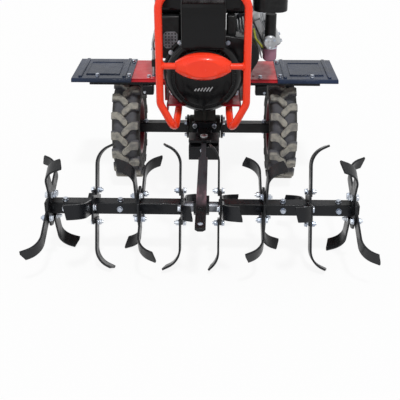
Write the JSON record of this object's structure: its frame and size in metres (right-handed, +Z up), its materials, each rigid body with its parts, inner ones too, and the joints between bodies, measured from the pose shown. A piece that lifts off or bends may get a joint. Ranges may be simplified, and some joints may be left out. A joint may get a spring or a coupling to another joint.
{
  "type": "walk-behind two-wheel tractor with a hinged front tine reel",
  "caption": "Walk-behind tractor with lugged wheels, fenders and engine guard; a drawbar hinged below the gear case carries a freely turning tine reel ahead of it.",
  "frame": {"origin": "on the ground under the middle of the wheel axle, which is also the middle of the overall box", "axes": "+Z up, front of the machine (engine starter and tine reel) towards -Y, +X to the right when seen from the front"},
  "size_m": [1.1032, 1.7266, 0.939],
  "materials": {
    "tyre": "matt lugged rubber",
    "rim_paint": "semi-gloss red paint",
    "red_paint": "gloss orange-red paint",
    "black_paint": "satin black paint",
    "cast_black": "black painted casting",
    "engine_black": "satin black engine paint",
    "alloy": "cast, matt",
    "zinc": "zinc plated",
    "worn_bar": "dark paint, rubbed",
    "blade_paint": "gloss black paint",
    "fender_gloss": "gloss black paint",
    "tank_paint": "gloss black paint",
    "muffler_steel": "heat-tinted steel",
    "black_plastic": "moulded",
    "grip_rubber": "ribbed rubber"
  },
  "bodies": {
    "tractor": {"gear_case": "cast_black", "front_bracket": "black_paint", "hitch_pin": "zinc", "engine_base": "red_paint", "crankcase": "engine_black", "cylinder": "alloy", "valve_cover": "engine_black", "blower_housing": "engine_black", "recoil_cover": "engine_black", "fuel_tank": "tank_paint", "tank_bracket": "black_paint", "fuel_cap": "black_plastic", "carburettor": "alloy", "air_cleaner": "black_plastic", "muffler": "muffler_steel", "muffler_guard": "black_paint", "bumper": "red_paint", "bumper_badge": "red_paint", "deck_pans": "red_paint", "fender_support": "black_paint", "fender_left": "fender_gloss", "fender_right": "fender_gloss", "rear_hitch": "black_paint", "gear_lever": "zinc"},
    "swing_head": {"handle_head": "black_paint"},
    "handles": {"handlebar": "black_paint", "grips": "grip_rubber", "clutch_lever": "black_plastic"},
    "wheel_left": {"tyre_left": "tyre", "rim_left": "rim_paint", "axle_hub_left": "black_paint"},
    "wheel_right": {"tyre_right": "tyre", "rim_right": "rim_paint", "axle_hub_right": "black_paint"},
    "draw_frame": {"drawbar": "worn_bar", "reel_bearing": "black_paint"},
    "reel": {"reel_axle": "blade_paint", "reel_flanges": "blade_paint", "tine_blades_left": "blade_paint", "tine_blades_right": "blade_paint"}
  },
  "joints": [
    {"name": "wheel_left_spin", "type": "hinge", "parent": "tractor", "child": "wheel_left", "pos_m": [0.302, 0, 0.207], "axis": [1, 0, 0], "continuous": true},
    {"name": "wheel_right_spin", "type": "hinge", "parent": "tractor", "child": "wheel_right", "pos_m": [-0.302, 0, 0.207], "axis": [1, 0, 0], "continuous": true},
    {"name": "drawbar_swing", "type": "hinge", "parent": "tractor", "child": "draw_frame", "pos_m": [0, -0.205, 0.2322], "axis": [0, 0, 1], "range_deg": [-25, 25]},
    {"name": "reel_spin", "type": "hinge", "parent": "draw_frame", "child": "reel", "pos_m": [0, -0.658, 0.1982], "axis": [1, 0, 0], "continuous": true},
    {"name": "handle_swing", "type": "hinge", "parent": "tractor", "child": "swing_head", "pos_m": [0, 0.112, 0.64], "axis": [0, 0, 1], "range_deg": [-30, 30]},
    {"name": "handle_height", "type": "hinge", "parent": "swing_head", "child": "handles", "pos_m": [0, 0.128, 0.6735], "axis": [1, 0, 0], "range_deg": [-12, 20]}
  ]
}
